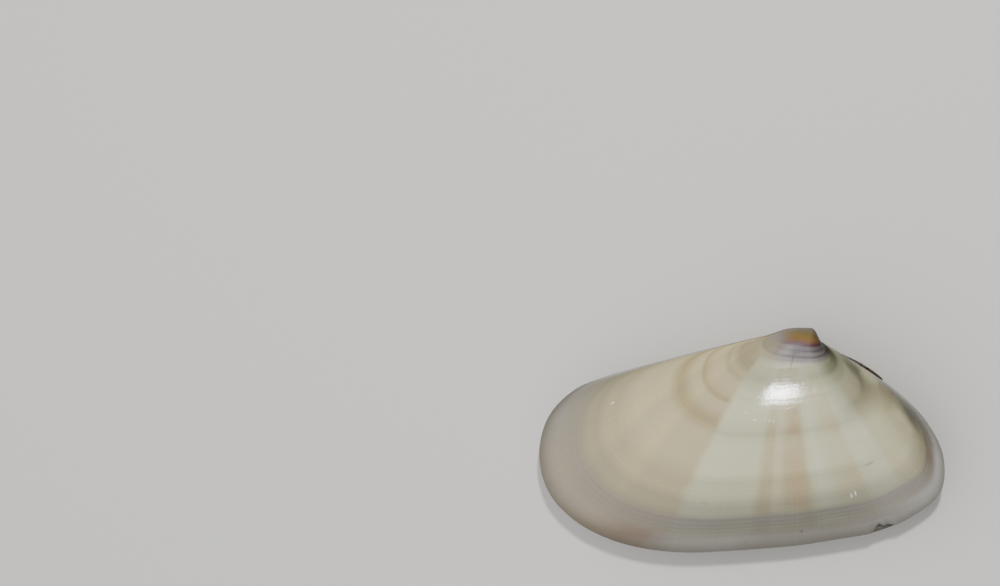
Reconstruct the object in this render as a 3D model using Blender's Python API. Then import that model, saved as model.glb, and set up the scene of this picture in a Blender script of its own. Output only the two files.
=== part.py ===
"""A wedge clam shell, whole and closed, lying on its right valve.

Both valves grow by one rule. Each old edge of the shell is the present edge made
smaller and turned about the hinge, so every growth ring follows from one outline.
Shell axes: +X to the short rear end, +Y to the hinge side, +Z out of the left valve,
with the plane where the valves meet at Z = 0 and the hinge at the origin.
"""
from math import cos, exp, pi, radians, sin

import bmesh
import bpy
from mathutils import Vector

MM = 0.001

# Driving sizes, in millimetres and degrees
LENGTH = 36.0             # front end to rear end
VALVE_GAP = 0.3           # between the two edges
EDGE_THICKNESS = 0.3      # height of the valve's outer lip
SPIRAL_TURN = 15.0        # turn of an old edge for each natural log step of growth
RIM_TURN = 6.5            # extra turn close to the edge, which makes it steep
RIM_REACH = 0.12          # growth over which the rim's extra turn builds up
BEAK_TURN = 50.0          # extra turn that curls the beak over the hinge
BEAK_START = 1.6          # growth age at which the beak's curl begins
BEAK_SPAN = 1.2           # growth over which it builds up
OLDEST = 3.1              # growth age of the beak's tip
HINGE_RISE = 0.22         # how far old hinges stand dorsally of the present one
SHOULDER = 1.6            # how far they stand outwards of it
SHOULDER_REACH = 0.25     # growth over which they move outwards
BEAK_SIZE = 0.13          # size of the rings that make the beak
BEAK_DIP = 0.5            # share of the shoulder that the beak's tip dips back
BEAK_LEAN = 2.0           # how far the tip leans to the rear
BEAK_LEAN_SIZE = 0.07     # size of the rings at which the lean fades

# The edge of either valve, in hundredths of the length, from under the beak to the
# front end, along the belly, round the rear end and back along the ligament
OUTLINE = (
    (0.0, -1.2), (-9.5, -2.3), (-18.8, -4.1), (-28.1, -6.1), (-37.4, -8.2),
    (-46.5, -10.7), (-55.3, -14.4), (-61.7, -21.2), (-63.9, -30.4), (-61.6, -39.6),
    (-55.3, -46.6), (-47.0, -51.1), (-37.8, -53.6), (-28.3, -54.5), (-18.8, -54.2),
    (-9.4, -53.5), (0.1, -52.6), (9.5, -51.1), (18.9, -49.3), (27.6, -45.6),
    (34.9, -39.4), (35.6, -30.2), (31.3, -21.6), (24.7, -14.8), (17.0, -9.3),
    (8.5, -5.0),
)

# Inside of a valve: the outside made smaller about a point, and cut off below the beak
INSIDE_CENTRE = Vector((-5.5, -13.5, 0.0))
INSIDE_SCALE = Vector((0.95, 0.87, 0.78))
INSIDE_OLDEST = 1.5       # the umbo beyond this age is solid
INSIDE_LIP = 0.2          # keeps the hollow clear of the edge's own plane
SKIRT = 1.5               # how far the cutter runs past the edge

# The ligament, from its front end under the beak to its rear end, as shares of the edge
LIGAMENT_FRONT = 0.952
LIGAMENT_REAR = 0.905
LIGAMENT_RADIUS = 0.42
LIGAMENT_INSET = 0.12     # its middle line, in from the edge
LIGAMENT_TAPER = 0.45     # radius of its ends, as a share of the middle's
LIGAMENT_STEPS = 9
GROOVE_CLEARANCE = 0.3

RESTING_DEPTH = 4.74      # the right valve's lowest spot, flattened here so that it lies still

# How finely the faceted solids follow the rule
RAYS = 64
RINGS = 24
RING_CROWDING = 1.3       # above 1, rings crowd towards the edge
INSIDE_RAYS = 40
INSIDE_RINGS = 8

LEFT_CREAM = (0.62, 0.52, 0.40, 1.0)
RIGHT_CREAM = (0.66, 0.55, 0.45, 1.0)
LIGAMENT_BROWN = (0.10, 0.055, 0.03, 1.0)


def clear_scene():
    for old in list(bpy.data.objects):
        bpy.data.objects.remove(old, do_unlink=True)


def new_collection(name):
    group = bpy.data.collections.new(name)
    bpy.context.scene.collection.children.link(group)
    return group


def principled(name, colour, roughness):
    material = bpy.data.materials.new(name)
    material.use_nodes = True
    shader = material.node_tree.nodes["Principled BSDF"]
    shader.inputs["Base Color"].default_value = colour
    shader.inputs["Roughness"].default_value = roughness
    shader.inputs["Metallic"].default_value = 0.0
    return material


def smooth_step(value):
    value = min(max(value, 0.0), 1.0)
    return value * value * (3.0 - 2.0 * value)


def edge_curve(per_span=24):
    """The outline as a closed smooth curve of many short steps, in millimetres."""
    knots = [Vector((x, y)) * LENGTH / 100.0 for x, y in OUTLINE]
    count = len(knots)
    curve = []
    for i in range(count):
        a, b, c, d = (knots[(i + k) % count] for k in (-1, 0, 1, 2))
        for j in range(per_span):
            t = j / per_span
            curve.append(0.5 * (2.0 * b + (c - a) * t + (2.0 * a - 5.0 * b + 4.0 * c - d) * t * t
                                + (3.0 * b - a - 3.0 * c + d) * t * t * t))
    return curve


def walk_edge(shares):
    """Points on the edge at the given shares of the way round it."""
    curve = edge_curve()
    curve.append(curve[0])
    run = [0.0]
    for a, b in zip(curve, curve[1:]):
        run.append(run[-1] + (b - a).length)
    points = []
    for share in shares:
        goal = (share % 1.0) * run[-1]
        i = max(k for k in range(len(run) - 1) if run[k] <= goal)
        points.append(curve[i].lerp(curve[i + 1], (goal - run[i]) / (run[i + 1] - run[i])))
    return points


def edge_turn(age):
    """Angle, in radians, between the present edge's plane and an old edge's."""
    return radians(SPIRAL_TURN * age
                   + RIM_TURN * (1.0 - exp(-age / RIM_REACH))
                   + BEAK_TURN * smooth_step((age - BEAK_START) / BEAK_SPAN))


def grown(edge_point, age, lip):
    """Where a point of the present edge was on the outside of the left valve."""
    size = exp(-age)
    turn = edge_turn(age)
    hook = exp(-(size / BEAK_SIZE) ** 2)
    shoulder = SHOULDER * (1.0 - exp(-age / SHOULDER_REACH)) * (1.0 - BEAK_DIP * hook)
    old_hinge = Vector((BEAK_LEAN * exp(-size / BEAK_LEAN_SIZE),
                        HINGE_RISE * (1.0 - size * size),
                        shoulder + lip))
    swung = Vector((edge_point.x, edge_point.y * cos(turn), -edge_point.y * sin(turn)))
    return old_hinge + size * swung


def ring_ages(rings, oldest):
    return [oldest * (i / rings) ** RING_CROWDING for i in range(rings + 1)]


def loft(name, loops, group):
    """A closed solid through loops of equal length, with a fan on both ends."""
    mesh = bmesh.new()
    rows = [[mesh.verts.new(point * MM) for point in loop] for loop in loops]
    count = len(rows[0])
    for low, high in zip(rows, rows[1:]):
        for i in range(count):
            j = (i + 1) % count
            mesh.faces.new((low[i], low[j], high[j], high[i]))
    for row in (rows[0], rows[-1]):
        middle = mesh.verts.new(sum((v.co for v in row), Vector()) / count)
        for i in range(count):
            mesh.faces.new((row[i], row[(i + 1) % count], middle))
    bmesh.ops.recalc_face_normals(mesh, faces=mesh.faces)
    data = bpy.data.meshes.new(name)
    mesh.to_mesh(data)
    mesh.free()
    shape = bpy.data.objects.new(name, data)
    group.objects.link(shape)
    return shape


def flipped(point, side):
    """The left valve's point, or its mirror on the right valve, clear of the gap."""
    return Vector((point.x, point.y, side * (point.z + VALVE_GAP / 2.0)))


def valve_loops(side):
    edge = walk_edge([i / RAYS for i in range(RAYS)])
    loops = [[flipped(p.to_3d(), side) for p in edge]]
    for age in ring_ages(RINGS, OLDEST):
        loops.append([flipped(grown(p, age, EDGE_THICKNESS), side) for p in edge])
    for point in (p for loop in loops for p in loop):
        point.z = max(point.z, -RESTING_DEPTH)
    return loops


def inside_loops(side):
    def shrink(point):
        return INSIDE_CENTRE + (point - INSIDE_CENTRE) * INSIDE_SCALE
    edge = walk_edge([i / INSIDE_RAYS for i in range(INSIDE_RAYS)])
    first = [shrink(grown(p, 0.0, 0.0)) for p in edge]
    loops = [[flipped(p - Vector((0.0, 0.0, SKIRT)), side) for p in first]]
    for age in ring_ages(INSIDE_RINGS, INSIDE_OLDEST):
        loops.append([flipped(shrink(grown(p, age, INSIDE_LIP)), side) for p in edge])
    return loops


def ligament_line():
    """The ligament's middle line, in the plane where the valves meet."""
    steps = [i / LIGAMENT_STEPS for i in range(LIGAMENT_STEPS + 1)]
    shares = [LIGAMENT_FRONT + (LIGAMENT_REAR - LIGAMENT_FRONT) * t for t in steps]
    line = walk_edge(shares)
    inward = Vector((line[0].y - line[-1].y, line[-1].x - line[0].x)).normalized()
    if inward.y > 0.0:
        inward.negate()
    return [(p + inward * LIGAMENT_INSET).to_3d() for p in line]


def tube(name, line, radius, ends, group):
    """A curve along the line, thinner towards both ends."""
    curve = bpy.data.curves.new(name, "CURVE")
    curve.dimensions = "3D"
    curve.bevel_depth = radius * MM
    curve.bevel_resolution = 2
    curve.use_fill_caps = True
    spline = curve.splines.new("POLY")
    spline.points.add(len(line) - 1)
    for i, (point, place) in enumerate(zip(spline.points, line)):
        point.co = (*(place * MM), 1.0)
        point.radius = ends + (1.0 - ends) * sin(pi * i / (len(line) - 1)) ** 0.5
    shape = bpy.data.objects.new(name, curve)
    group.objects.link(shape)
    return shape


def as_mesh(shape, group):
    """The curve's welded mesh, as an object of the same name."""
    name = shape.name
    seen = shape.evaluated_get(bpy.context.evaluated_depsgraph_get())
    data = bpy.data.meshes.new_from_object(seen)
    bpy.data.objects.remove(shape, do_unlink=True)
    mesh = bmesh.new()
    mesh.from_mesh(data)
    bmesh.ops.remove_doubles(mesh, verts=mesh.verts, dist=1e-7)
    bmesh.ops.recalc_face_normals(mesh, faces=mesh.faces)
    mesh.to_mesh(data)
    mesh.free()
    solid = bpy.data.objects.new(name, data)
    solid.name = name
    group.objects.link(solid)
    return solid


def cut(shape, cutter):
    modifier = shape.modifiers.new(cutter.name, "BOOLEAN")
    modifier.operation = "DIFFERENCE"
    modifier.solver = "EXACT"
    modifier.object = cutter


def hide_cutter(cutter):
    cutter.hide_render = True
    cutter.display_type = "WIRE"


def build_valve(name, side, material, groove, shell, cutters):
    valve = loft(name, valve_loops(side), shell)
    valve.data.materials.append(material)
    valve.data.shade_smooth()
    hollow = loft(name + "_hollow", inside_loops(side), cutters)
    hide_cutter(hollow)
    cut(valve, hollow)
    cut(valve, groove)
    return valve


def resting_place(points):
    """The move that sets the middle of the points' box over the origin, on Z = 0."""
    low = Vector([min(p[k] for p in points) for k in range(3)])
    high = Vector([max(p[k] for p in points) for k in range(3)])
    middle = (low + high) / 2.0
    return Vector((-middle.x, -middle.y, -low.z)) * MM


def main():
    clear_scene()
    shell = new_collection("wedge_clam_shell")
    cutters = new_collection("cutters")

    line = ligament_line()
    ligament = as_mesh(tube("ligament", line, LIGAMENT_RADIUS, LIGAMENT_TAPER, shell), shell)
    ligament.data.materials.append(principled("ligament_horn", LIGAMENT_BROWN, 0.3))
    ligament.data.shade_smooth()
    groove_radius = LIGAMENT_RADIUS + GROOVE_CLEARANCE
    groove = as_mesh(tube("ligament_groove", line, groove_radius, 1.0, cutters), cutters)
    hide_cutter(groove)

    left = build_valve("left_valve", 1.0, principled("left_shell", LEFT_CREAM, 0.25),
                       groove, shell, cutters)
    right = build_valve("right_valve", -1.0, principled("right_shell", RIGHT_CREAM, 0.25),
                        groove, shell, cutters)

    outside = [p for side in (1.0, -1.0) for loop in valve_loops(side) for p in loop]
    place = resting_place(outside)
    for piece in (left, right, ligament, *cutters.objects):
        piece.location = place
    print("hinge at", [round(v / MM, 2) for v in place], "mm")


main()
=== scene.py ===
# %% [markdown]
# # A wedge clam shell, closed and lying on its right valve
#
# The real thing is a beach find: two hard valves held together by a short horny
# ligament. A valve grows only at its edge, so every older edge is still there as a
# growth line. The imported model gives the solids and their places. This script adds
# the fine valves, the ligament's fibres, the finishes, the light and the camera.

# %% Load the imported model
from math import cos, exp, pi, radians, sin

import bmesh
import bpy
from mathutils import Matrix, Vector


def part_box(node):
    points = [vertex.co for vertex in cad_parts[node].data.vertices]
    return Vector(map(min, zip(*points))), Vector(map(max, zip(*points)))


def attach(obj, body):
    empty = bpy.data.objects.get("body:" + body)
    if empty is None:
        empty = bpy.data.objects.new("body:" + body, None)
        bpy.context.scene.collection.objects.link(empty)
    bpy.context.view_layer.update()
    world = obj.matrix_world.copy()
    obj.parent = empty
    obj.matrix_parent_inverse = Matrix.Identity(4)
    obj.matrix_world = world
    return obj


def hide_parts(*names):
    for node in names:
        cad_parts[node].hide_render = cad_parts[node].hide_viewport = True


MM = 0.001

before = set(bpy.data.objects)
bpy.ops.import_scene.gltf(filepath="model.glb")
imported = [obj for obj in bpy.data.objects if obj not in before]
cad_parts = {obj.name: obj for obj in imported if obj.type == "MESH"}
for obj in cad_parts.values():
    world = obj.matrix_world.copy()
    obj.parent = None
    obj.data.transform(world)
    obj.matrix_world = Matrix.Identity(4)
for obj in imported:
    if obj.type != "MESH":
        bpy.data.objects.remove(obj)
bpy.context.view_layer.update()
left_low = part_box("left_valve")[0]

# %% [markdown]
# ## Sizes
#
# The solids follow the same rule as the fine valves here: an old edge is the present
# edge, made smaller and turned about the hinge. So this script repeats the values of
# that rule, in millimetres and degrees. Growth is counted back from the present edge:
# the growth age is 0 there and rises towards the beak, and a ring's size is exp(-age).

# %% The values of the growth rule
LENGTH = 36.0             # front end to rear end
VALVE_GAP = 0.3           # between the two edges
EDGE_THICKNESS = 0.3      # height of the valve's outer lip
SPIRAL_TURN = 15.0        # turn of an old edge for each natural log step of growth
RIM_TURN = 6.5            # extra turn close to the edge, which makes it steep
RIM_REACH = 0.12          # growth over which the rim's extra turn builds up
BEAK_TURN = 50.0          # extra turn that curls the beak over the hinge
BEAK_START = 1.6          # growth age at which the beak's curl begins
BEAK_SPAN = 1.2           # growth over which it builds up
OLDEST = 3.1              # growth age of the beak's tip
HINGE_RISE = 0.22         # how far old hinges stand dorsally of the present one
SHOULDER = 1.6            # how far they stand outwards of it
SHOULDER_REACH = 0.25     # growth over which they move outwards
BEAK_SIZE = 0.13          # size of the rings that make the beak
BEAK_DIP = 0.5            # share of the shoulder that the beak's tip dips back
BEAK_LEAN = 1.6           # how far the tip leans to the rear, a little less than in the solids
BEAK_LEAN_SIZE = 0.07     # size of the rings at which the lean fades
RESTING_DEPTH = 4.74      # the right valve's lowest spot, flattened here
ARCH = 0.0036             # fine valves only: how strongly old edges arch along the shell
ARCH_MIDDLE = -3.7        # fine valves only: where along the shell they don't
TIP_START = 2.2           # fine valves only: growth age from which the beak's tip rounds off
TIP_ROUNDING = 0.75       # fine valves only: how much it does
INSIDE_CENTRE = (-5.5, -13.5, 0.0)
INSIDE_SCALE = (0.95, 0.87, 0.78)
INSIDE_OLDEST = 1.5       # the umbo beyond this age is solid
INSIDE_LIP = 0.2
EDGE_STEPS = 24           # steps in each span of the outline's curve
CHIP_HALF_WIDTH = 3.6     # degrees round the hinge
CHIP_CORE = 0.35          # share of the half width that is bitten fully
CHIP_TEETH = 2.2          # ragged teeth for each degree
CHIP_RINGS = (0.945, 0.99)  # ring sizes between which the bite grows
CHIP_LIFT = 0.35          # how far the bite rises, for each step inwards
RELIEF_START = (0.06, 0.2)  # ring sizes between which the growth lines set in

# The edge of either valve, in hundredths of the length, from under the beak to the
# front end, along the belly, round the rear end and back along the ligament
OUTLINE = (
    (0.0, -1.2), (-9.5, -2.3), (-18.8, -4.1), (-28.1, -6.1), (-37.4, -8.2),
    (-46.5, -10.7), (-55.3, -14.4), (-61.7, -21.2), (-63.9, -30.4), (-61.6, -39.6),
    (-55.3, -46.6), (-47.0, -51.1), (-37.8, -53.6), (-28.3, -54.5), (-18.8, -54.2),
    (-9.4, -53.5), (0.1, -52.6), (9.5, -51.1), (18.9, -49.3), (27.6, -45.6),
    (34.9, -39.4), (35.6, -30.2), (31.3, -21.6), (24.7, -14.8), (17.0, -9.3),
    (8.5, -5.0),
)


# %% [markdown]
# ## One helper for nodes, one for colours
#
# Shapes and finishes are both built from nodes, so one small function adds a node,
# sets its properties and fills its inputs. Colours are written as sRGB hex values,
# as a colour picker shows them, and Blender wants them linear.

# %% The two helpers
MATH = "ShaderNodeMath"
VECTOR = "ShaderNodeVectorMath"


def add(tree, kind, inputs=(), stops=(), **settings):
    """Add a node. An input is a node, a socket or a plain value, by order or by name.

    Stops are a colour ramp's: pairs of a position from 0 to 1 and a hex colour.
    """
    node = tree.nodes.new(kind)
    for name, value in settings.items():
        setattr(node, name, value)
    for i, (position, tint) in enumerate(stops):
        stop = node.color_ramp.elements[i] if i < 2 else node.color_ramp.elements.new(position)
        stop.position = position
        stop.color = colour(tint)
    for key, value in inputs.items() if isinstance(inputs, dict) else enumerate(inputs):
        if isinstance(value, bpy.types.Node):
            value = next(socket for socket in value.outputs if socket.enabled)
        if isinstance(value, bpy.types.NodeSocket):
            tree.links.new(value, node.inputs[key])
        elif value is not None:
            node.inputs[key].default_value = value
    return node


def colour(hex_value):
    """The linear colour of an sRGB hex value such as "e8dcc8"."""
    parts = [int(hex_value[i:i + 2], 16) / 255.0 for i in (0, 2, 4)]
    return (*(c / 12.92 if c <= 0.04045 else ((c + 0.055) / 1.055) ** 2.4 for c in parts), 1.0)


# %% [markdown]
# ## The outline of the edge
#
# The edge where the valves meet is the one line that has to be drawn. It is a closed
# curve of a few points. The valve's tree turns it into a Catmull-Rom curve, which passes
# through every point and keeps a soft bend.

# %% Draw the outline
outline = bpy.data.curves.new("edge_outline", "CURVE")
outline.dimensions = "3D"
spline = outline.splines.new("POLY")
spline.points.add(len(OUTLINE) - 1)
for point, (x, y) in zip(spline.points, OUTLINE):
    point.co = (x * LENGTH / 100.0, y * LENGTH / 100.0, 0.0, 1.0)
spline.use_cyclic_u = True


def edge_curve(per_span=EDGE_STEPS):
    """The outline as a closed smooth curve of many short steps, in millimetres."""
    knots = [Vector(pair) * LENGTH / 100.0 for pair in OUTLINE]
    count = len(knots)
    curve = []
    for i in range(count):
        a, b, c, d = (knots[(i + k) % count] for k in (-1, 0, 1, 2))
        for j in range(per_span):
            t = j / per_span
            curve.append(0.5 * (2.0 * b + (c - a) * t + (2.0 * a - 5.0 * b + 4.0 * c - d) * t * t
                                + (3.0 * b - a - 3.0 * c + d) * t * t * t))
    return curve


edge = edge_curve()
front_end = min(p.x for p in edge)
belly = min(p.y for p in edge)
HINGE = Vector((left_low[0] / MM - front_end, left_low[1] / MM - belly,
                left_low[2] / MM - VALVE_GAP / 2.0))
print("the hinge stands at", [round(v, 2) for v in HINGE], "mm")

# %% [markdown]
# ## A valve, grown by rule
#
# A grid of rings and rays is bent into the shell. Along the grid run the rays, from
# the beak to the edge. Across it run the rings: first those of the inside, from deep
# in the umbo to the edge, then those of the outside, from the edge back to the beak.
# So one sheet makes the whole thickness, and it closes at both ends. The size of a
# ring and its point on the edge are stored on the mesh, because every stripe, ray and
# growth line of the finish follows them.

# %% Build the valve's tree
GRID_INPUTS = (
    ("Side", "NodeSocketFloat", 1.0),
    ("Rays", "NodeSocketInt", 280),
    ("Outer Rings", "NodeSocketInt", 300),
    ("Inner Rings", "NodeSocketInt", 24),
    ("Ring Crowding", "NodeSocketFloat", 1.3),
    ("Relief", "NodeSocketFloat", 0.006),
    ("Relief Spacing", "NodeSocketFloat", 0.04),
    ("Seed", "NodeSocketFloat", 4.0),
    ("Chip Depth", "NodeSocketFloat", 0.0),
    ("Chip Place", "NodeSocketFloat", 66.5),
    ("Finish", "NodeSocketMaterial", None),
)


def valve_tree():
    """A Geometry Nodes tree that grows a valve from the outline of its edge."""
    tree = bpy.data.node_groups.new("valve_growth", "GeometryNodeTree")
    tree.interface.new_socket("Outline", in_out="INPUT", socket_type="NodeSocketGeometry")
    for name, kind, value in GRID_INPUTS:
        socket = tree.interface.new_socket(name, in_out="INPUT", socket_type=kind)
        if value is not None:
            socket.default_value = value
    tree.interface.new_socket("Valve", in_out="OUTPUT", socket_type="NodeSocketGeometry")
    size_of = add(tree, "NodeGroupInput").outputs

    # The grid, with its ray and ring numbers
    rows = add(tree, MATH, (size_of["Outer Rings"], size_of["Inner Rings"]), operation="ADD")
    rows = add(tree, MATH, (rows, 4.0), operation="ADD")
    columns = add(tree, MATH, (size_of["Rays"], 1.0), operation="ADD")
    grid = add(tree, "GeometryNodeMeshGrid", {"Size X": 1.0, "Size Y": 1.0,
                                              "Vertices X": columns, "Vertices Y": rows})
    place = add(tree, "ShaderNodeSeparateXYZ", (add(tree, "GeometryNodeInputPosition"),))
    share = add(tree, MATH, (place.outputs["X"], 0.5), operation="ADD")
    down = add(tree, MATH, (place.outputs["Y"], 0.5), operation="ADD")
    last_row = add(tree, MATH, (rows, 1.0), operation="SUBTRACT")
    row = add(tree, MATH, (add(tree, MATH, (down, last_row), operation="MULTIPLY"),),
              operation="ROUND")

    # Which side of the wall a ring is on, and how many rings it is from the edge
    outside_start = add(tree, MATH, (size_of["Inner Rings"], 1.5), operation="ADD")
    is_outside = add(tree, MATH, (row, outside_start), operation="GREATER_THAN")
    inner_step = add(tree, MATH, (size_of["Inner Rings"], row), operation="SUBTRACT")
    outer_step = add(tree, MATH, (add(tree, MATH, (row, size_of["Inner Rings"]),
                                      operation="SUBTRACT"), 3.0), operation="SUBTRACT")
    step = add(tree, "ShaderNodeMix", {0: is_outside, 2: inner_step, 3: outer_step})
    count = add(tree, "ShaderNodeMix", {0: is_outside, 2: size_of["Inner Rings"],
                                        3: size_of["Outer Rings"]})
    oldest = add(tree, "ShaderNodeMix", {0: is_outside, 2: INSIDE_OLDEST, 3: OLDEST})
    lip = add(tree, "ShaderNodeMix", {0: is_outside, 2: INSIDE_LIP, 3: EDGE_THICKNESS})
    above_plane = add(tree, MATH, (step, -0.5), operation="GREATER_THAN")
    open_ring = add(tree, MATH, (step, add(tree, MATH, (count, 0.5), operation="SUBTRACT")),
                    operation="LESS_THAN")

    # Growth age and size of the ring
    span = add(tree, MATH, (count, 1.0), operation="SUBTRACT")
    reach = add(tree, MATH, (step, span), operation="DIVIDE", use_clamp=True)
    crowded = add(tree, MATH, (reach, size_of["Ring Crowding"]), operation="POWER")
    age = add(tree, MATH, (crowded, oldest), operation="MULTIPLY")
    size = add(tree, MATH, (add(tree, MATH, (age, -1.0), operation="MULTIPLY"),),
               operation="EXPONENT")

    # The turn of the old edge's plane
    spiral = add(tree, MATH, (age, SPIRAL_TURN), operation="MULTIPLY")
    rim_fade = add(tree, MATH, (add(tree, MATH, (age, -RIM_REACH), operation="DIVIDE"),),
                   operation="EXPONENT")
    rim = add(tree, MATH, (rim_fade, -RIM_TURN, RIM_TURN), operation="MULTIPLY_ADD")
    curl = add(tree, "ShaderNodeMapRange",
               {"Value": age, "From Min": BEAK_START, "From Max": BEAK_START + BEAK_SPAN,
                "To Min": 0.0, "To Max": BEAK_TURN}, interpolation_type="SMOOTHSTEP")
    turn = add(tree, MATH, (add(tree, MATH, (spiral, rim), operation="ADD"), curl), operation="ADD")
    turn = add(tree, MATH, (turn,), operation="RADIANS")

    # Where the hinge was at that age
    ratio = add(tree, MATH, (add(tree, MATH, (size, BEAK_SIZE), operation="DIVIDE"), 2.0),
                operation="POWER")
    hook = add(tree, MATH, (add(tree, MATH, (ratio, -1.0), operation="MULTIPLY"),),
               operation="EXPONENT")
    dip = add(tree, MATH, (hook, -BEAK_DIP, 1.0), operation="MULTIPLY_ADD")
    out = add(tree, MATH, (add(tree, MATH, (age, -SHOULDER_REACH), operation="DIVIDE"),),
              operation="EXPONENT")
    out = add(tree, MATH, (out, -SHOULDER, SHOULDER), operation="MULTIPLY_ADD")
    lifted = add(tree, MATH, (lip, above_plane), operation="MULTIPLY")
    out = add(tree, MATH, (out, dip, lifted), operation="MULTIPLY_ADD")
    lean = add(tree, MATH, (add(tree, MATH, (size, -BEAK_LEAN_SIZE), operation="DIVIDE"),),
               operation="EXPONENT")
    lean = add(tree, MATH, (lean, BEAK_LEAN), operation="MULTIPLY")
    squared = add(tree, MATH, (size, size), operation="MULTIPLY")
    rise = add(tree, MATH, (squared, -HINGE_RISE, HINGE_RISE), operation="MULTIPLY_ADD")
    old_hinge = add(tree, "ShaderNodeCombineXYZ", (lean, rise, out))

    # The point of the edge on this ray, and the same point when the shell was that old
    drawn = add(tree, "GeometryNodeCurveSplineType", {"Curve": size_of["Outline"]},
                spline_type="CATMULL_ROM")
    drawn = add(tree, "GeometryNodeSetSplineResolution", {"Geometry": drawn,
                                                             "Resolution": EDGE_STEPS})
    sample = add(tree, "GeometryNodeSampleCurve", {"Curves": drawn, "Factor": share},
                 mode="FACTOR")
    edge_point = sample.outputs["Position"]
    edge_at = add(tree, "ShaderNodeSeparateXYZ", (edge_point,))
    y_part = add(tree, MATH, (edge_at.outputs["Y"], add(tree, MATH, (turn,), operation="COSINE")),
                 operation="MULTIPLY")
    z_part = add(tree, MATH, (edge_at.outputs["Y"], add(tree, MATH, (turn,), operation="SINE")),
                 operation="MULTIPLY")
    z_part = add(tree, MATH, (z_part, -1.0), operation="MULTIPLY")
    swung = add(tree, "ShaderNodeCombineXYZ", (edge_at.outputs["X"], y_part, z_part))
    to_tip = add(tree, "ShaderNodeMapRange",
                 {"Value": age, "From Min": TIP_START, "From Max": OLDEST})
    to_tip = add(tree, MATH, (to_tip, to_tip), operation="MULTIPLY")
    tip = add(tree, MATH, (add(tree, MATH, (to_tip, -TIP_ROUNDING, 1.0), operation="MULTIPLY_ADD"),),
              operation="SQRT")
    ring_size = add(tree, MATH, (size, open_ring), operation="MULTIPLY")
    ring_size = add(tree, MATH, (ring_size, tip), operation="MULTIPLY")
    swung = add(tree, VECTOR, {0: swung, "Scale": ring_size}, operation="SCALE")
    outside = add(tree, VECTOR, (old_hinge, swung), operation="ADD")
    spread = add(tree, MATH, (edge_at.outputs["X"], ARCH_MIDDLE), operation="SUBTRACT")
    spread = add(tree, MATH, (spread, spread), operation="MULTIPLY")
    young = add(tree, MATH, (ring_size, squared), operation="SUBTRACT")
    young = add(tree, MATH, (young, 0.0), operation="MAXIMUM")
    arch = add(tree, MATH, (add(tree, MATH, (spread, young), operation="MULTIPLY"), -ARCH),
               operation="MULTIPLY")
    outside = add(tree, VECTOR, (outside, add(tree, "ShaderNodeCombineXYZ", (0.0, 0.0, arch))),
                  operation="ADD")

    # The inside is the same sheet made smaller about one point
    shift = [c * (1.0 - s) for c, s in zip(INSIDE_CENTRE, INSIDE_SCALE)]
    inside = add(tree, VECTOR, (outside, INSIDE_SCALE, shift), operation="MULTIPLY_ADD")
    wall = add(tree, "ShaderNodeMix", {0: is_outside, 4: inside, 5: outside}, data_type="VECTOR")
    lifted_wall = add(tree, VECTOR, (wall, (0.0, 0.0, VALVE_GAP / 2.0)), operation="ADD")

    # A chip: the last rings before the edge draw back, most in the chip's middle, raggedly
    degrees = add(tree, MATH, (add(tree, MATH, (edge_at.outputs["Y"], -1.0), operation="MULTIPLY"),
                               edge_at.outputs["X"]), operation="ARCTAN2")
    degrees = add(tree, MATH, (degrees,), operation="DEGREES")
    off = add(tree, MATH, (degrees, size_of["Chip Place"]), operation="SUBTRACT")
    near = add(tree, MATH, (add(tree, MATH, (off,), operation="ABSOLUTE"), CHIP_HALF_WIDTH),
               operation="DIVIDE")
    near = add(tree, "ShaderNodeMapRange", {"Value": near, "From Min": 1.0, "From Max": CHIP_CORE},
               interpolation_type="SMOOTHSTEP")
    ragged = add(tree, "ShaderNodeTexNoise", {"W": degrees, "Scale": CHIP_TEETH,
                                              "Detail": 4.0},
                 noise_dimensions="1D")
    near = add(tree, MATH, (near, ragged.outputs[0]), operation="MULTIPLY")
    rim_here = add(tree, "ShaderNodeMapRange", {"Value": size, "From Min": CHIP_RINGS[0],
                                                "From Max": CHIP_RINGS[1]})
    bite = add(tree, MATH, (add(tree, MATH, (near, rim_here), operation="MULTIPLY"),
                            size_of["Chip Depth"]), operation="MULTIPLY")
    inward = add(tree, VECTOR, (edge_point,), operation="NORMALIZE").outputs["Vector"]
    inward = add(tree, VECTOR, (inward, (-1.0, -1.0, 0.0)), operation="MULTIPLY")
    inward = add(tree, VECTOR, (inward, (0.0, 0.0, CHIP_LIFT)), operation="ADD")
    bitten = add(tree, VECTOR, {0: inward, "Scale": bite}, operation="SCALE")
    lifted_wall = add(tree, VECTOR, (lifted_wall, bitten), operation="ADD")

    # Keep the ring's size and the ray's point on the edge for the finish
    kept = add(tree, "GeometryNodeStoreNamedAttribute",
               {"Geometry": grid, "Name": "growth", "Value": size}, data_type="FLOAT")
    kept = add(tree, "GeometryNodeStoreNamedAttribute",
               {"Geometry": kept, "Name": "edge_point", "Value": edge_point},
               data_type="FLOAT_VECTOR")
    kept = add(tree, "GeometryNodeStoreNamedAttribute",
               {"Geometry": kept, "Name": "outside", "Value": is_outside}, data_type="FLOAT")
    bent = add(tree, "GeometryNodeSetPosition", {"Geometry": kept, "Position": lifted_wall})
    closed = add(tree, "GeometryNodeMergeByDistance", {"Geometry": bent, "Distance": 0.0001})

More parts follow.
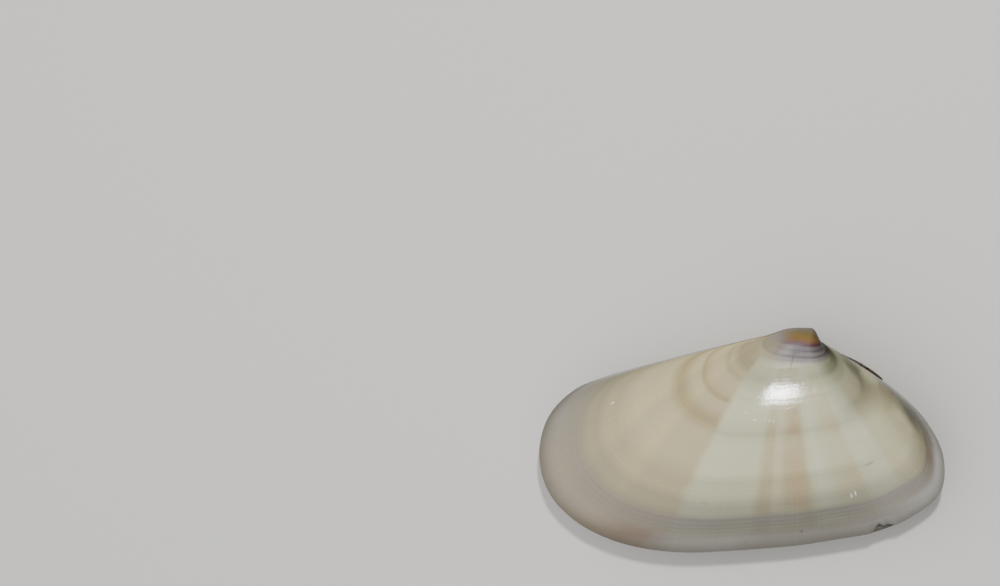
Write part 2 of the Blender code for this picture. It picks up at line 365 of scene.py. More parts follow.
    # Growth lines stand up a little on the outside
    ring_size = add(tree, "GeometryNodeInputNamedAttribute", ("growth",), data_type="FLOAT")
    on_outside = add(tree, "GeometryNodeInputNamedAttribute", ("outside",), data_type="FLOAT")
    age_here = add(tree, MATH, (ring_size, exp(1.0)), operation="LOGARITHM")
    along = add(tree, MATH, (age_here, size_of["Relief Spacing"]), operation="DIVIDE")
    along = add(tree, MATH, (along, size_of["Seed"]), operation="ADD")
    lines = add(tree, "ShaderNodeTexNoise", {"W": along, "Scale": 1.0, "Detail": 3.0,
                                             "Roughness": 0.6}, noise_dimensions="1D")
    height = add(tree, MATH, (lines.outputs[0], 0.5), operation="SUBTRACT")
    height = add(tree, MATH, (height, size_of["Relief"]), operation="MULTIPLY")
    height = add(tree, MATH, (height, on_outside), operation="MULTIPLY")
    fade = add(tree, "ShaderNodeMapRange", {"Value": ring_size, "From Min": RELIEF_START[0],
                                            "From Max": RELIEF_START[1]})
    height = add(tree, MATH, (height, fade), operation="MULTIPLY")
    push = add(tree, VECTOR, {0: add(tree, "GeometryNodeInputNormal"), "Scale": height},
               operation="SCALE")
    lined = add(tree, "GeometryNodeSetPosition", {"Geometry": closed, "Offset": push})

    # Turn it over for the right valve, and set it in the model's frame in metres
    flip = add(tree, "ShaderNodeCombineXYZ", (1.0, 1.0, size_of["Side"]))
    here = add(tree, VECTOR, (add(tree, "GeometryNodeInputPosition"), flip), operation="MULTIPLY")
    here_at = add(tree, "ShaderNodeSeparateXYZ", (here,))
    rested = add(tree, MATH, (here_at.outputs["Z"], -RESTING_DEPTH), operation="MAXIMUM")
    here = add(tree, "ShaderNodeCombineXYZ", (here_at.outputs["X"], here_at.outputs["Y"], rested))
    here = add(tree, VECTOR, (here, tuple(HINGE)), operation="ADD")
    here = add(tree, VECTOR, {0: here, "Scale": MM}, operation="SCALE")
    placed = add(tree, "GeometryNodeSetPosition", {"Geometry": lined, "Position": here})
    smooth = add(tree, "GeometryNodeSetShadeSmooth", {"Geometry": placed})
    real = add(tree, "GeometryNodeRealizeInstances", {"Geometry": smooth})
    done = add(tree, "GeometryNodeSetMaterial", {"Geometry": real, "Material": size_of["Finish"]})
    add(tree, "NodeGroupOutput", (done,))
    return tree


VALVE_TREE = valve_tree()
print("the valve's tree has", len(VALVE_TREE.nodes), "nodes")


# %% [markdown]
# ## From the tree to a plain mesh
#
# The export drops modifiers, so the tree is run once for each valve and its result is
# kept as a plain mesh. The faces are turned outwards, and the count of open edges shows
# whether the shell is closed.

# %% Grow a valve as a plain mesh
def grow_valve(name, finish, **sizes):
    """Run the tree on the outline, and keep the result as a mesh with outward faces."""
    seed = bpy.data.objects.new(name + "_outline", outline)
    bpy.context.scene.collection.objects.link(seed)
    growth = seed.modifiers.new("growth", "NODES")
    growth.node_group = VALVE_TREE
    identifier = {item.name: item.identifier for item in VALVE_TREE.interface.items_tree}
    growth[identifier["Finish"]] = finish
    for size_name, value in sizes.items():
        growth[identifier[size_name.replace("_", " ").title()]] = value
    seen = seed.evaluated_get(bpy.context.evaluated_depsgraph_get())
    data = bpy.data.meshes.new_from_object(seen)
    bpy.data.objects.remove(seed, do_unlink=True)
    shape = bmesh.new()
    shape.from_mesh(data)
    bmesh.ops.recalc_face_normals(shape, faces=shape.faces)
    print(name, "has", len(shape.faces), "faces and", round(shape.calc_volume() / MM ** 3), "mm3;",
          sum(not e.is_manifold for e in shape.edges), "open edges")
    shape.to_mesh(data)
    shape.free()
    data.name = name
    valve = bpy.data.objects.new(name, data)
    bpy.context.scene.collection.objects.link(valve)
    return valve


# %% [markdown]
# ## The shell's finish
#
# A clam shell is aragonite, laid down at the edge in thin layers and polished by the
# sand: smooth, fairly glossy, slightly waxy. Colour is laid down at the edge too, so a
# colour that stayed on is a ray, and a colour of one season is a ring. The finish is
# painted in the same way. Every point knows its ring, as the size of the shell when
# that ring was its edge, and its ray, as the degrees round the hinge from the rear.
# Rays drift a little towards the rear as the shell gets younger. All colours come from
# one small paint box, so the two valves stay relatives.

# %% The paint box
PAINTS = {
    # The body, from the palest ray to the dark rear flank, whose darkness is partly painted shade
    "chalk": "d2d2b8", "ivory": "cacaaa", "cream": "c8c0a0", "straw": "c6ba90",
    "sand": "bcb08c", "drab": "a09a7c", "flank": "706858",
    "milk": "d8ccb0", "custard": "cec2a0", "peach": "d6c2a0", "blush": "d0ba9a",
    "rose": "c4b096", "biscuit": "b8a480", "toast": "c0aa86", "wood": "9c8a70",
    # The pale margin, its paints partly painted shade, and the grey-violet band
    "slate": "504e48", "mist": "9c9890", "pearl": "b8b4ac", "ash": "8e8a80",
    "dove": "848074", "clay": "908470", "umber": "807060", "hide": "746a5e",
    "soot": "464436", "bark": "645c4e", "violet_pale": "8e8882", "violet_grey": "74706a",
    "violet_brown": "7c7268", "plum_grey": "6a605c", "fawn": "888070",
    # The beak
    "moss": "4c4632", "olive": "6a5e44", "ochre": "7e6834", "rust": "7a5630",
    "plum": "50303a", "lilac": "6a6060", "ink": "464048", "stone": "807a72",
    "hazel": "746452", "reed": "8a826a", "hay": "a09474", "lichen": "a0a08c",
    # Tints that a ring lays over the rays, from clear to dark
    "clear": "fcfaf2", "pale": "f2f0e8", "honey": "ecdfca", "soft": "e4e2da",
    "warm": "dcd4c0", "dusk": "d6d4ce", "deep": "c6c6c0", "grey": "b4b6b0", "dim": "9a9e98",
    # Small marks; glint is a painted highlight
    "glint": "fbfaf0", "crumb": "8a7c60", "speck": "4a3826",
}

# %% [markdown]
# ## The left valve's pattern
#
# A pattern is a description in words: where a ray or a ring lies, and which of the
# paints it has. Between two places the colour runs from one paint to the next. Most
# rays are sand or ivory, and most rings are only a little darker than the rays.

# %% What the left valve looks like
LEFT = {
    # Degrees round the hinge from the rear
    "rays": (
        # From drab to flank the rays darken towards the rear: partly the shell's colour, partly
        # painted shade
        (30, "flank"), (40, "drab"), (50, "cream"), (54, "cream"), (57, "chalk"), (65, "chalk"),
        (67.5, "cream"), (73, "cream"), (76, "ivory"), (80, "chalk"), (83.5, "ivory"),
        (85.5, "sand"), (89, "toast"), (92.5, "sand"), (95, "cream"), (97, "cream"), (98.5, "sand"),
        (101, "sand"), (103.5, "ivory"), (120.5, "ivory"), (122.5, "sand"), (133, "sand"),
        (136, "straw"), (143, "sand"), (147, "straw"), (155, "sand"), (166, "drab"),
    ),
    "plain": "ivory",
    # Size of the shell when the ring was its edge
    "rings": (
        (0.17, "dusk"), (0.21, "soft"), (0.24, "dusk"), (0.25, "dusk"), (0.27, "soft"),
        (0.30, "pale"), (0.32, "clear"), (0.335, "pale"), (0.35, "clear"), (0.42, "clear"),
        (0.46, "pale"), (0.487, "soft"), (0.50, "pale"), (0.54, "clear"), (0.65, "clear"),
        (0.69, "soft"), (0.75, "soft"), (0.78, "dusk"), (0.80, "deep"),
    ),
    "front_rings": (
        (0.17, "dusk"), (0.225, "dusk"), (0.25, "pale"), (0.27, "soft"), (0.287, "clear"),
        (0.32, "clear"), (0.345, "pale"), (0.362, "warm"), (0.375, "clear"), (0.40, "clear"),
        (0.445, "warm"), (0.46, "warm"), (0.50, "clear"), (0.62, "clear"), (0.70, "soft"),
        (0.745, "soft"), (0.77, "dusk"), (0.805, "dusk"), (0.83, "deep"),
    ),
    "rear_rings": (
        (0.17, "dim"), (0.21, "grey"), (0.25, "dim"), (0.27, "grey"), (0.30, "grey"),
        (0.32, "deep"), (0.40, "deep"), (0.43, "grey"), (0.46, "deep"), (0.50, "soft"),
        (0.55, "clear"), (0.75, "clear"), (0.83, "soft"),
    ),
    # Degrees over which the front's and the rear's rings take over
    "front": (120.5, 124.0),
    "rear": (70.0, 50.0),
    # Degrees round the hinge again
    "margin": (
        (30, "slate"), (37, "ash"), (42, "pearl"), (50, "pearl"), (61, "mist"), (67, "ash"),
        (80, "dove"), (100, "dove"), (108, "ash"), (121, "ash"), (127, "umber"), (131, "umber"),
        (138, "clay"), (151, "clay"), (164, "dove"),
    ),
    "band": (
        (30, "soot"), (37, "bark"), (44, "violet_brown"), (50, "violet_pale"),
        (61, "violet_pale"), (75, "violet_grey"), (120, "violet_grey"), (132, "violet_brown"),
        (150, "fawn"), (160, "fawn"),
    ),
    # Sizes of the beak's own narrow rings
    "umbo": (
        (0.060, "moss"), (0.075, "olive"), (0.096, "ochre"), (0.108, "rust"), (0.1175, "plum"),
        (0.121, "plum"), (0.125, "lilac"), (0.1345, "lilac"), (0.1372, "ink"), (0.1405, "lilac"),
        (0.148, "stone"), (0.155, "lilac"), (0.1588, "ink"), (0.163, "stone"), (0.172, "stone"),
        (0.185, "lichen"),
    ),
    "front_umbo": (
        (0.065, "moss"), (0.078, "olive"), (0.090, "hazel"), (0.111, "stone"), (0.130, "reed"),
        (0.158, "reed"), (0.163, "hay"), (0.185, "hay"),
    ),
    # Degrees, size, half width in degrees, half height in size, paint, strength
    "marks": (
        (93, 0.475, 5, 0.035, "wood", 0.4), (92.5, 0.395, 4, 0.022, "wood", 0.4),
        (70.5, 0.49, 4, 0.035, "biscuit", 0.35), (36.5, 0.82, 6.5, 0.17, "soot", 0.95),
        (37, 0.38, 6, 0.10, "slate", 0.6),
        (40.5, 0.43, 6, 0.035, "plum_grey", 0.5), (44, 0.88, 2.2, 0.03, "umber", 0.3),
        # Each glint mark is a painted highlight
        (62.5, 0.695, 3.5, 0.008, "reed", 0.6), (72.3, 0.806, 0.4, 0.016, "glint", 0.9),
        (70.8, 0.800, 0.4, 0.016, "glint", 0.9), (89, 0.932, 0.4, 0.008, "speck", 0.95),
        (118.5, 0.780, 1.2, 0.006, "reed", 0.6), (40.3, 0.915, 0.6, 0.025, "plum_grey", 0.6),
        (101.8, 0.160, 2.0, 0.070, "plum", 0.7), (92.5, 0.130, 2.2, 0.026, "plum", 0.9),
        (128.5, 0.140, 1.6, 0.028, "lilac", 0.55), (97, 0.119, 9, 0.008, "plum", 0.6),
        (100.8, 0.118, 2.4, 0.022, "plum", 0.8),
        # The speck oval at 54 degrees darkens the rear of the beak: painted shade
        (54, 0.100, 10, 0.024, "speck", 0.75), (99, 0.136, 15, 0.030, "ink", 0.7),
        (115, 0.42, 1.6, 0.005, "glint", 0.9),
        (107, 0.427, 0.8, 0.008, "glint", 0.9), (104.8, 0.431, 0.5, 0.010, "glint", 0.9),
        (109.5, 0.418, 0.6, 0.006, "glint", 0.9), (121, 0.391, 1.2, 0.004, "glint", 0.8),
        (158.5, 0.72, 0.4, 0.010, "glint", 0.9), (104, 0.96, 0.25, 0.02, "bark", 0.6),
    ),
}

# %% [markdown]
# ## The right valve's pattern
#
# The two valves of one shell need not have the same rays. This one is peach towards
# the rear and darker towards the front, with one milky ray between.

# %% What the right valve looks like
RIGHT = {
    "rays": (
        # From drab to flank the rays darken towards the rear: partly the shell's colour, partly
        # painted shade
        (30, "flank"), (39, "drab"), (46, "custard"), (50, "custard"), (60, "peach"),
        (66, "peach"), (71.5, "blush"), (84, "blush"), (86.5, "custard"), (88, "milk"),
        (91, "milk"), (93, "peach"), (96.5, "blush"), (100, "rose"), (106, "rose"),
        (112, "biscuit"), (124, "biscuit"), (127, "custard"), (133, "custard"), (139, "toast"),
        (150, "toast"), (158, "wood"),
    ),
    "plain": "peach",
    "rings": (
        (0.17, "clear"), (0.20, "clear"), (0.215, "honey"), (0.235, "clear"), (0.27, "clear"),
        (0.28, "honey"), (0.295, "clear"), (0.32, "clear"), (0.34, "honey"), (0.36, "clear"),
        (0.40, "clear"), (0.43, "pale"), (0.46, "dusk"), (0.475, "soft"), (0.50, "clear"),
        (0.60, "pale"), (0.65, "soft"), (0.70, "dusk"), (0.78, "deep"),
    ),
    "front_rings": (
        (0.17, "dusk"), (0.20, "dusk"), (0.22, "warm"), (0.235, "soft"), (0.255, "warm"),
        (0.28, "soft"), (0.31, "pale"), (0.34, "dusk"), (0.37, "soft"), (0.41, "pale"),
        (0.45, "dusk"), (0.48, "dusk"), (0.51, "pale"), (0.60, "clear"), (0.70, "soft"),
        (0.78, "dusk"), (0.83, "deep"),
    ),
    "rear_rings": (
        (0.17, "deep"), (0.20, "grey"), (0.25, "grey"), (0.30, "deep"), (0.40, "deep"),
        (0.43, "grey"), (0.46, "dusk"), (0.50, "pale"), (0.55, "clear"), (0.75, "pale"),
        (0.83, "dusk"),
    ),
    "front": (119.0, 131.0),
    "rear": (66.0, 48.0),
    "margin": (
        (30, "hide"), (36, "ash"), (42, "mist"), (46, "pearl"), (55, "pearl"), (61, "mist"),
        (67, "ash"), (89, "ash"), (96, "dove"), (101, "hide"), (125, "hide"), (130, "umber"),
        (136, "hide"), (145, "hide"), (152, "umber"), (162, "umber"),
    ),
    "band": (
        (30, "soot"), (36, "bark"), (42, "violet_brown"), (50, "violet_pale"),
        (61, "violet_pale"), (73, "violet_brown"), (89, "violet_grey"), (102, "plum_grey"),
        (122, "plum_grey"), (135, "violet_grey"), (150, "violet_brown"), (160, "violet_brown"),
    ),
    "umbo": (
        (0.060, "rust"), (0.076, "ochre"), (0.085, "rust"), (0.093, "hazel"), (0.099, "plum"),
        (0.104, "lilac"), (0.110, "stone"), (0.115, "stone"), (0.118, "ink"), (0.122, "stone"),
        (0.130, "reed"), (0.1345, "reed"), (0.137, "ink"), (0.140, "hay"), (0.150, "sand"),
        (0.170, "straw"), (0.185, "straw"),
    ),
    "front_umbo": (
        (0.060, "moss"), (0.085, "olive"), (0.110, "hazel"), (0.130, "stone"), (0.137, "hazel"),
        (0.145, "reed"), (0.170, "hay"), (0.185, "hay"),
    ),
    "marks": (
        (114, 0.165, 1.2, 0.075, "plum_grey", 0.6), (53, 0.215, 4, 0.02, "reed", 0.5),
        (48, 0.33, 3, 0.03, "hay", 0.4), (37, 0.84, 6, 0.14, "soot", 0.8),
        # The glint mark is a painted highlight
        (40, 0.44, 5, 0.05, "plum_grey", 0.5), (138, 0.705, 0.5, 0.010, "glint", 0.8),
        (131.5, 0.385, 0.5, 0.020, "crumb", 0.7), (134, 0.362, 1.6, 0.004, "crumb", 0.7),
        (121.5, 0.68, 3.5, 0.14, "biscuit", 0.35),
    ),
}
print("the paint box holds", len(PAINTS), "colours")

# %% [markdown]
# ## What both valves share
#
# The fine patterns get their scale from a real size. The grey-violet band is a stack
# of narrow rings, and its strength is written as greys from none to full.

# %% What both valves share
SHELL_HEIGHT = 20.0       # from the hinge to the belly, in millimetres
WANDER_SIZE = 2.9         # sizes of the fine patterns, in millimetres
MOTTLE_SIZE = 3.3
LINE_SPACING = 0.22
STRIA_WIDTH = 0.32
GRAIN_SIZE = 0.37
RAY_DRIFT = 0.12          # share by which rays draw nearer to the rear for each step of age
RAY_PIVOT = 50.0          # the ray that stays where it is
UMBO_SKEW = 0.0020        # how far the beak's rings lie askew, for each degree
HALF_TURN = 180.0         # degrees that a ramp by degrees covers
RING_WANDER = 0.012       # how far the slow wander moves a ring, in ring size
RAY_WANDER = 2.5          # how far it moves a ray, in degrees
UMBO_LEVEL = 100.0        # the ray on which the beak's rings keep their size
FAINT_RINGS = (0.48, 0.30)   # ring sizes between which the rays grow faint
# Towards the beak the rear flank takes painted shade
PAINTED_SHADE_RINGS = (0.30, 0.19)     # ring sizes between which the rear flank grows dim
MARGIN_RINGS = (0.895, 0.925)
UMBO_RINGS = (0.20, 0.17)
UMBO_FRONT = (106.0, 146.0)  # degrees over which the front's beak rings take over
BAND_SHIFT = (62.0, 44.0, 0.018)  # behind these degrees the band lies nearer to the edge
WEAR_RINGS = (0.26, 0.18)    # ring sizes between which the gloss is worn
GLOSSY, WORN = 0.10, 0.42    # roughness
ARAGONITE_IOR = 1.53
HINGE_BLEND = (4.0, 1.5)  # millimetres from the hinge over which the rays blend
BAND_STRENGTH = (
    (0.74, "000000"), (0.78, "7a7a7a"), (0.83, "888888"), (0.85, "e8e8e8"), (0.86, "f4f4f4"),
    (0.868, "dcdcdc"), (0.876, "f8f8f8"), (0.882, "d4d4d4"), (0.890, "f0f0f0"),
    (0.898, "c8c8c8"), (0.906, "d4d4d4"), (0.914, "909090"), (0.928, "000000"),
)
# The last rings darken towards the very edge: painted shade of the rim turning away from the light
MARGIN_PAINTED_SHADE = ((0.94, "ffffff"), (0.965, "ececec"), (0.985, "cacac6"), (1.0, "b0b0ac"))
# Painted shade on the rear flank, as greys by degrees round the hinge, darkest at the rear
REAR_PAINTED_SHADE = ((30, "1c1c18"), (38, "3c3c38"), (42, "727268"), (50, "c6c6c0"), (70, "ffffff"))


# %% [markdown]
# ## Mixing the finish
#
# The layers go on as they do on a painted model: rays, rings, margin, band, beak,
# the rear flank's painted shade and small marks, each over the last. Roughness and a
# fine relief come at the end.

# %% Mix the finish of a valve
def painted(stops, whole=1.0):
    """Stops of a position and a paint's name, as a ramp's stops from 0 to 1."""
    return [(position / whole, PAINTS[paint]) for position, paint in stops]


def shell_finish(name, pattern):
    """Polished aragonite, painted by ring and ray."""
    material = bpy.data.materials.new(name)
    material.use_nodes = True
    tree = material.node_tree
    shader = tree.nodes["Principled BSDF"]

    def over(below, above, share, blend="MIX"):
        """One colour over another."""
        return add(tree, "ShaderNodeMix", {0: share, 6: below, 7: above}, data_type="RGBA",
                   blend_type=blend).outputs[2]

    def ramp(at, stops):
        """A colour by position."""
        return add(tree, "ShaderNodeValToRGB", (at,), stops=stops).outputs["Color"]

    def fade(value, start, full, most=1.0):
        """A soft step from 0 to its most."""
        return add(tree, "ShaderNodeMapRange", {"Value": value, "From Min": start,
                                                "From Max": full, "To Max": most},
                   interpolation_type="SMOOTHSTEP")

    # Ring size, growth age and degrees round the hinge at this point
    size = add(tree, "ShaderNodeAttribute", attribute_name="growth").outputs["Fac"]
    edge_point = add(tree, "ShaderNodeAttribute", attribute_name="edge_point").outputs["Vector"]
    at = add(tree, "ShaderNodeSeparateXYZ", (edge_point,))
    down = add(tree, MATH, (at.outputs["Y"], -1.0), operation="MULTIPLY")
    degrees = add(tree, MATH, (add(tree, MATH, (down, at.outputs["X"]), operation="ARCTAN2"),),
                  operation="DEGREES")
    age = add(tree, MATH, (size, exp(1.0)), operation="LOGARITHM")
    age = add(tree, MATH, (age, -1.0), operation="MULTIPLY")

    # A slow wander, so that no ring or ray is drawn with a ruler
    place = add(tree, "ShaderNodeTexCoord").outputs["Object"]
    wander = add(tree, "ShaderNodeTexNoise", {"Vector": place, "Scale": 1.0 / (WANDER_SIZE * MM),
                                              "Detail": 2.0})
    wander = add(tree, MATH, (wander.outputs["Fac"], 0.5), operation="SUBTRACT")
    ring = add(tree, MATH, (wander, RING_WANDER, size), operation="MULTIPLY_ADD")
    round_hinge = add(tree, MATH, (wander, RAY_WANDER, degrees), operation="MULTIPLY_ADD")
    degree_share = add(tree, MATH, (round_hinge, HALF_TURN), operation="DIVIDE")

    # Rays drift, and rings near the beak lie askew to the present edge
    drift = add(tree, MATH, (age, -RAY_DRIFT, 1.0), operation="MULTIPLY_ADD")
    from_rear = add(tree, MATH, (round_hinge, RAY_PIVOT), operation="SUBTRACT")
    ray = add(tree, MATH, (from_rear, drift, RAY_PIVOT), operation="MULTIPLY_ADD")
    ray_share = add(tree, MATH, (ray, HALF_TURN), operation="DIVIDE")
    askew = add(tree, MATH, (round_hinge, UMBO_LEVEL), operation="SUBTRACT")
    askew = add(tree, MATH, (askew, UMBO_SKEW, 1.0), operation="MULTIPLY_ADD")
    umbo_ring = add(tree, MATH, (ring, askew), operation="MULTIPLY")

    # Rays first, fainter where the shell was young, then the rings over them
    in_front = fade(ray, *pattern["front"])
    faint = fade(ring, *FAINT_RINGS, 0.6)
    faint = add(tree, MATH, (faint, add(tree, MATH, (1.0, in_front), operation="SUBTRACT")),
                operation="MULTIPLY")
    mottle = add(tree, "ShaderNodeTexNoise", {"Vector": place, "Scale": 1.0 / (MOTTLE_SIZE * MM),
                                              "Detail": 3.0})
    patchy = add(tree, MATH, (fade(mottle.outputs["Fac"], 0.45, 0.7, 0.6), faint),
                 operation="MAXIMUM")
    tone = over(ramp(ray_share, painted(pattern["rays"], HALF_TURN)),
                colour(PAINTS[pattern["plain"]]), over(patchy, faint, in_front))
    tint = over(ramp(ring, painted(pattern["rings"])),
                ramp(ring, painted(pattern["front_rings"])), in_front)
    tint = over(tint, ramp(ring, painted(pattern["rear_rings"])), fade(ray, *pattern["rear"]))
    tone = over(tone, tint, 1.0, "MULTIPLY")

    # The margin, partly painted shade and darker still towards the very edge, then the grey-violet
    # band inside it, which runs closer to the edge behind
    there = fade(ring, *MARGIN_RINGS)
    edge_tone = ramp(degree_share, painted(pattern["margin"], HALF_TURN))
    tone = over(tone, over(edge_tone, ramp(ring, MARGIN_PAINTED_SHADE), 1.0, "MULTIPLY"), there)
    band_ring = add(tree, MATH, (ring, fade(round_hinge, *BAND_SHIFT)), operation="SUBTRACT")
    tone = over(tone, ramp(degree_share, painted(pattern["band"], HALF_TURN)),
                ramp(band_ring, BAND_STRENGTH))

    # The beak's cap and the narrow rings below it, and painted shade on the rear flank behind the
    # beak
    tint = over(ramp(umbo_ring, painted(pattern["umbo"])),
                ramp(umbo_ring, painted(pattern["front_umbo"])),
                fade(round_hinge, *UMBO_FRONT))
    tone = over(tone, tint, fade(umbo_ring, *UMBO_RINGS))
    dim = fade(ring, *PAINTED_SHADE_RINGS)
    rear_painted_shade = [(degree / HALF_TURN, grey) for degree, grey in REAR_PAINTED_SHADE]
    tone = over(tone, ramp(degree_share, rear_painted_shade), dim, "MULTIPLY")

    # Small marks, each a soft oval
    for degree, mark_size, wide, high, paint, strength in pattern["marks"]:
        across = add(tree, MATH, (degrees, degree), operation="SUBTRACT")
        across = add(tree, MATH, (across, wide), operation="DIVIDE")
        along = add(tree, MATH, (size, mark_size), operation="SUBTRACT")
        along = add(tree, MATH, (along, high), operation="DIVIDE")
        off = add(tree, VECTOR, (add(tree, "ShaderNodeCombineXYZ", (across, along)),),
                  operation="LENGTH").outputs["Value"]
        tone = over(tone, colour(PAINTS[paint]), fade(off, 1.0, 0.0, strength))

    # Next to the hinge the rays crowd together and blend
    reach = add(tree, VECTOR, (edge_point,), operation="LENGTH").outputs["Value"]
    tone = over(tone, colour(PAINTS["reed"]), fade(reach, *HINGE_BLEND))

    # Fine growth lines and striae, in the colour and in the relief
    degree_width = radians(1.0) * SHELL_HEIGHT
    lines = add(tree, "ShaderNodeTexNoise", {"W": age, "Scale": SHELL_HEIGHT / LINE_SPACING,
                                             "Detail": 3.0, "Roughness": 0.6},
                noise_dimensions="1D")
    striae = add(tree, "ShaderNodeTexNoise", {"W": degrees, "Scale": degree_width / STRIA_WIDTH,
                                              "Detail": 2.0, "Roughness": 0.65},
                 noise_dimensions="1D")
    lines = add(tree, MATH, (lines.outputs["Fac"], 1.35), operation="MULTIPLY")
    fine = add(tree, MATH, (striae.outputs["Fac"], 0.65, lines), operation="MULTIPLY_ADD")
    shade = add(tree, "ShaderNodeMapRange", {"Value": fine, "From Min": 0.6, "From Max": 1.4,
                                             "To Min": 0.94, "To Max": 1.06})
    tone = add(tree, VECTOR, {0: tone, "Scale": shade}, operation="SCALE")
    tree.links.new(tone.outputs["Vector"], shader.inputs["Base Color"])
    across = add(tree, MATH, (degrees, degree_width / GRAIN_SIZE), operation="MULTIPLY")
    along = add(tree, MATH, (age, SHELL_HEIGHT / GRAIN_SIZE), operation="MULTIPLY")
    grain = add(tree, "ShaderNodeTexNoise",
                {"Vector": add(tree, "ShaderNodeCombineXYZ", (across, along)), "Scale": 1.0,
                 "Detail": 2.0})
    bump = add(tree, "ShaderNodeBump", {"Height": fine, "Distance": 0.0015 * MM, "Strength": 1.0})
    bump = add(tree, "ShaderNodeBump", {"Height": grain.outputs["Fac"], "Distance": 0.007 * MM,
                                        "Strength": 1.0, "Normal": bump})
    tree.links.new(bump.outputs["Normal"], shader.inputs["Normal"])

    # The sand wore the beak first, so it is the least glossy
    wear = add(tree, "ShaderNodeMapRange", {"Value": ring, "From Min": WEAR_RINGS[0],
                                            "From Max": WEAR_RINGS[1], "To Min": GLOSSY,
                                            "To Max": WORN})
    tree.links.new(wear.outputs[0], shader.inputs["Roughness"])
    shader.inputs["IOR"].default_value = ARAGONITE_IOR
    return material


left_finish = shell_finish("left_polished_aragonite", LEFT)
left = grow_valve("left_shell_valve", left_finish, side=1.0, chip_depth=0.9)
right_finish = shell_finish("right_polished_aragonite", RIGHT)
right = grow_valve("right_shell_valve", right_finish, side=-1.0, seed=9.0)
for valve, node, slot in ((left, "left_valve", "left_shell"), (right, "right_valve", "right_shell")):
    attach(valve, "root")
    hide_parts(node)


# %% [markdown]
# ## The ligament
#
# The ligament is horn that grew in strands along the hinge: dark brown, uneven and
# shiny as if wet. It is a thin bolster on the edge behind the beaks. Its middle line
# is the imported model's, taken from the same outline.

# %% Make the ligament
LIGAMENT_SHARES = (0.970, 0.905)   # its ends, as shares of the way round, the first one
                                   # 1.6 mm nearer to the beaks than the solid's
LIGAMENT_RADIUS = 0.42
LIGAMENT_INSET = 0.12
LIGAMENT_STRANDS = 7
LIGAMENT_STEPS = 60       # along it
LIGAMENT_SIDES = 56       # round it
LIGAMENT_KNOTS = 61.0     # how fast the thickness wavers along it

steps = [(b - a).length for a, b in zip(edge, edge[1:] + edge[:1])]
around = sum(steps)


def walk(share):
    """The point this share of the way round the edge."""
    left_over = share * around
    for i, step in enumerate(steps):
        if left_over < step:
            return edge[i].lerp(edge[(i + 1) % len(edge)], left_over / step)
        left_over -= step
    return edge[0]


front_share, rear_share = LIGAMENT_SHARES
line = [walk(front_share + (rear_share - front_share) * i / LIGAMENT_STEPS)
        for i in range(LIGAMENT_STEPS + 1)]
along = (line[-1] - line[0]).normalized()
inward = Vector((along.y, -along.x))
shape = bmesh.new()
loops = []
for i, point in enumerate(line):
    share = i / LIGAMENT_STEPS
    swell = 0.45 + 0.55 * sin(pi * share) ** 0.5
    middle = (point + inward * LIGAMENT_INSET).to_3d()
    loop = []
    for j in range(LIGAMENT_SIDES):
        a = 2.0 * pi * j / LIGAMENT_SIDES
        strand = 1.0 - 0.05 * (0.5 + 0.5 * cos(LIGAMENT_STRANDS * a + 4.0 * sin(9.0 * share)))
        strand -= 0.03 * (0.5 + 0.5 * sin(LIGAMENT_KNOTS * share + 2.0 * sin(a)))
        radius = LIGAMENT_RADIUS * swell * strand
        spot = middle - inward.to_3d() * cos(a) * radius + Vector((0.0, 0.0, sin(a) * radius))
        loop.append(shape.verts.new((spot + HINGE) * MM))
    loops.append(loop)
for first, second in zip(loops, loops[1:]):
    for j in range(LIGAMENT_SIDES):
        k = (j + 1) % LIGAMENT_SIDES
        shape.faces.new((first[j], first[k], second[k], second[j]))
shape.faces.new(loops[0])
shape.faces.new(loops[-1])
bmesh.ops.recalc_face_normals(shape, faces=shape.faces)
print("the ligament has", len(shape.faces), "faces and",
      sum(not e.is_manifold for e in shape.edges), "open edges")
ligament_mesh = bpy.data.meshes.new("fibrous_ligament")
shape.to_mesh(ligament_mesh)
shape.free()
ligament_mesh.shade_smooth()
ligament = bpy.data.objects.new("fibrous_ligament", ligament_mesh)
bpy.context.scene.collection.objects.link(ligament)

# %% [markdown]
# ## The ligament's finish
#
# Horn is a natural plastic like a fingernail, grown in strands. The strands give long
# dark and light streaks, and the thin glossy skin over them gives sharp glints.

# %% Mix the ligament's finish
horn = bpy.data.materials.new("brown_horn")
horn.use_nodes = True
shader = horn.node_tree.nodes["Principled BSDF"]
place = add(horn.node_tree, "ShaderNodeTexCoord").outputs["Object"]
STRAND_LENGTH, STRAND_WIDTH = 0.67, 0.2    # millimetres
strand_scale = [1.0 / (size * MM) for size in (STRAND_LENGTH, STRAND_WIDTH, STRAND_WIDTH)]
place = add(horn.node_tree, "ShaderNodeMapping", {"Vector": place, "Scale": strand_scale,
                                                  "Rotation": (0.0, 0.0, radians(30.0))})
strands = add(horn.node_tree, "ShaderNodeTexNoise", {"Vector": place, "Scale": 1.0, "Detail": 3.0})
tone = add(horn.node_tree, "ShaderNodeValToRGB", (strands.outputs["Fac"],),
           stops=[(0.3, "1c140e"), (0.5, "3c2a1e"), (0.62, "5a4636"), (0.75, "8a7c6c")])
horn.node_tree.links.new(tone.outputs["Color"], shader.inputs["Base Color"])
bump = add(horn.node_tree, "ShaderNodeBump", {"Height": strands.outputs["Fac"],
                                              "Distance": 0.04 * MM, "Strength": 1.0})
horn.node_tree.links.new(bump.outputs["Normal"], shader.inputs["Normal"])
shader.inputs["Roughness"].default_value = 0.16
shader.inputs["IOR"].default_value = 1.54
ligament_mesh.materials.append(horn)
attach(ligament, "root")
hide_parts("ligament")

# %% [markdown]
# ## The camera
#
# It stands almost straight above the shell, a few degrees towards the hinge, and is
# turned to the middle of the picture, so it needs no shift.

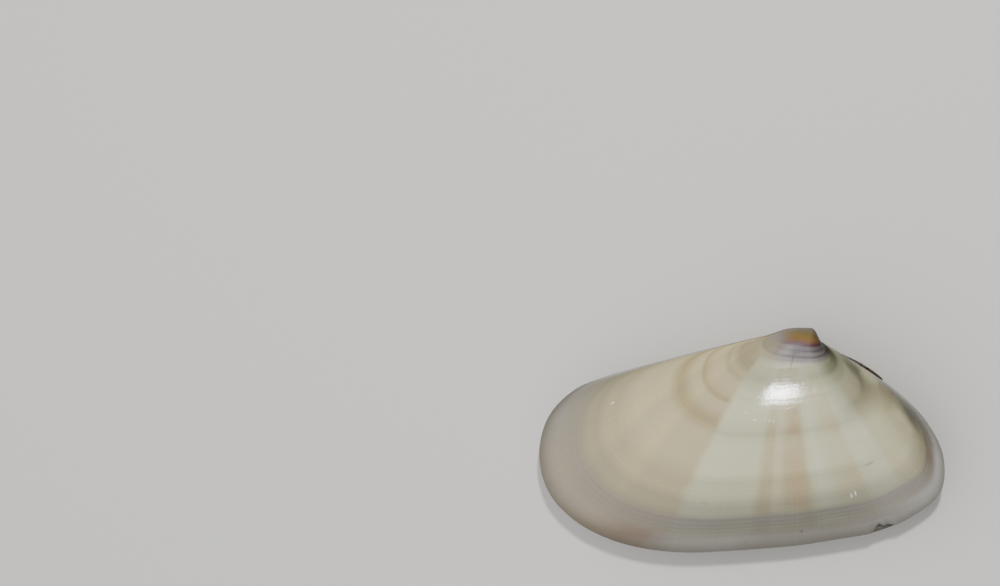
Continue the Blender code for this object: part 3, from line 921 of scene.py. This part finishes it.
# %% Camera
PHOTO_WIDTH, PHOTO_HEIGHT = 1000, 586
PHOTO_SCALE = LENGTH / 403.0           # millimetres in a photo pixel
HINGE_PIXEL = (797.0, 332.0)
SHELL_PIXEL = (741.0, 440.0)           # the middle of the shell, which the camera hangs over
CAMERA_LENS = 120.0
SENSOR = 36.0
CAMERA_TILT = 3.0                      # degrees from straight above, towards the hinge


def above(pixel):
    """The point in the valves' meeting plane under a pixel of the photo, in metres."""
    return Vector((HINGE.x + (pixel[0] - HINGE_PIXEL[0]) * PHOTO_SCALE,
                   HINGE.y + (HINGE_PIXEL[1] - pixel[1]) * PHOTO_SCALE, HINGE.z)) * MM


distance = CAMERA_LENS / SENSOR * PHOTO_WIDTH * PHOTO_SCALE * MM
tilt = radians(CAMERA_TILT)
camera = bpy.data.objects.new("camera", bpy.data.cameras.new("camera"))
bpy.context.scene.collection.objects.link(camera)
bpy.context.scene.camera = camera
camera.data.lens = CAMERA_LENS
camera.data.sensor_width = SENSOR
camera.data.clip_start = 0.01
camera.location = above(SHELL_PIXEL) + Vector((0.0, sin(tilt), cos(tilt))) * distance
backward = (camera.location - above((PHOTO_WIDTH / 2.0, PHOTO_HEIGHT / 2.0))).normalized()
upward = backward.cross(Vector((1.0, 0.0, 0.0))).normalized()
rightward = upward.cross(backward)
camera.rotation_euler = Matrix((rightward, upward, backward)).transposed().to_euler()
print("the camera stands", round(distance * 1000), "mm away")

# %% [markdown]
# ## Floor and light
#
# Pale card, a room that is brighter on one side, and one small soft lamp. The lamp is
# what makes the single bright patch below the beak.

# %% Floor and light
floor_mesh = bpy.data.meshes.new("floor")
shape = bmesh.new()
bmesh.ops.create_grid(shape, x_segments=1, y_segments=1, size=0.6)
shape.to_mesh(floor_mesh)
shape.free()
floor = bpy.data.objects.new("floor", floor_mesh)
bpy.context.scene.collection.objects.link(floor)
floor_finish = bpy.data.materials.new("pale_card")
floor_finish.use_nodes = True
floor_finish.node_tree.nodes["Principled BSDF"].inputs["Base Color"].default_value = colour("d8d6d0")
floor_finish.node_tree.nodes["Principled BSDF"].inputs["Roughness"].default_value = 0.8
floor_mesh.materials.append(floor_finish)

BRIGHT_SIDE = (-0.73, -0.15, 0.67)      # towards the bright side of the room
world = bpy.data.worlds.new("room")
bpy.context.scene.world = world
world.use_nodes = True
room = world.node_tree
facing = add(room, "ShaderNodeTexCoord").outputs["Generated"]
how_bright = add(room, VECTOR, (facing, BRIGHT_SIDE), operation="DOT_PRODUCT").outputs["Value"]
glow = add(room, "ShaderNodeMapRange", {"Value": how_bright, "From Min": 0.1, "From Max": 1.0,
                                        "To Min": 0.12, "To Max": 1.8},
           interpolation_type="SMOOTHSTEP")
room.nodes["Background"].inputs["Color"].default_value = colour("f2f2f5")
room.links.new(glow.outputs[0], room.nodes["Background"].inputs["Strength"])

shell_middle = Vector((0.0, 0.0, 0.005))


def softbox(name, azimuth, elevation, reach, width, height, power):
    """A soft lamp that faces the shell from a bearing and a height, both in degrees."""
    light = bpy.data.lights.new(name, "AREA")
    light.shape = "RECTANGLE"
    light.size = width
    light.size_y = height
    light.energy = power
    box = bpy.data.objects.new(name, light)
    bpy.context.scene.collection.objects.link(box)
    a, e = radians(azimuth), radians(elevation)
    towards = Vector((sin(a) * cos(e), -cos(a) * cos(e), sin(e)))
    box.location = shell_middle + towards * reach
    box.rotation_euler = (-towards).to_track_quat("-Z", "Y").to_euler()


softbox("key_light", 172.0, 73.0, 0.35, 0.015, 0.024, 0.74)
